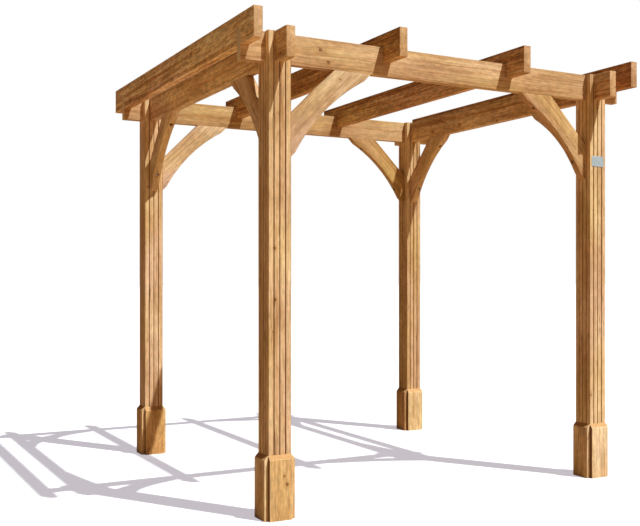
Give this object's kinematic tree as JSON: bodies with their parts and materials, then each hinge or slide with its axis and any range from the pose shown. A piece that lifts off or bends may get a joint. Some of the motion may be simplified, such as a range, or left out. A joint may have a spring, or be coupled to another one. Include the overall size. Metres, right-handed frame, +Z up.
{
  "type": "wooden pergola",
  "caption": "Open square garden pergola of grooved timber posts with base boards, half-lapped beams, notched rafters and curved corner braces.",
  "frame": {"origin": "middle of the bay on the ground, at the level of the post feet", "axes": "+Z up, +X to the right along the front beam, +Y from the front to the back"},
  "size_m": [2.37, 2.37, 2.39],
  "materials": {
    "post_wood": "planed softwood, oiled, grooved",
    "base_wood": "planed softwood, oiled",
    "beam_wood": "planed softwood, oiled",
    "rafter_wood": "planed softwood, oiled",
    "brace_wood": "planed softwood, oiled, sawn curve",
    "plate_metal": "plain brushed plate"
  },
  "bodies": {
    "root": {"post_front_left": "post_wood", "post_front_right": "post_wood", "post_back_left": "post_wood", "post_back_right": "post_wood", "base_front_left_front": "base_wood", "base_front_left_right": "base_wood", "base_front_left_back": "base_wood", "base_front_left_left": "base_wood", "base_front_right_front": "base_wood", "base_front_right_right": "base_wood", "base_front_right_back": "base_wood", "base_front_right_left": "base_wood", "base_back_left_front": "base_wood", "base_back_left_right": "base_wood", "base_back_left_back": "base_wood", "base_back_left_left": "base_wood", "base_back_right_front": "base_wood", "base_back_right_right": "base_wood", "base_back_right_back": "base_wood", "base_back_right_left": "base_wood", "beam_front": "beam_wood", "beam_back": "beam_wood", "beam_left": "beam_wood", "beam_right": "beam_wood", "rafter_left_outer": "rafter_wood", "rafter_left_inner": "rafter_wood", "rafter_right_inner": "rafter_wood", "rafter_right_outer": "rafter_wood", "brace_front_left": "brace_wood", "brace_front_right": "brace_wood", "brace_back_left": "brace_wood", "brace_back_right": "brace_wood", "brace_left_front": "brace_wood", "brace_left_back": "brace_wood", "brace_right_front": "brace_wood", "brace_right_back": "brace_wood", "plate": "plate_metal"}
  },
  "joints": []
}
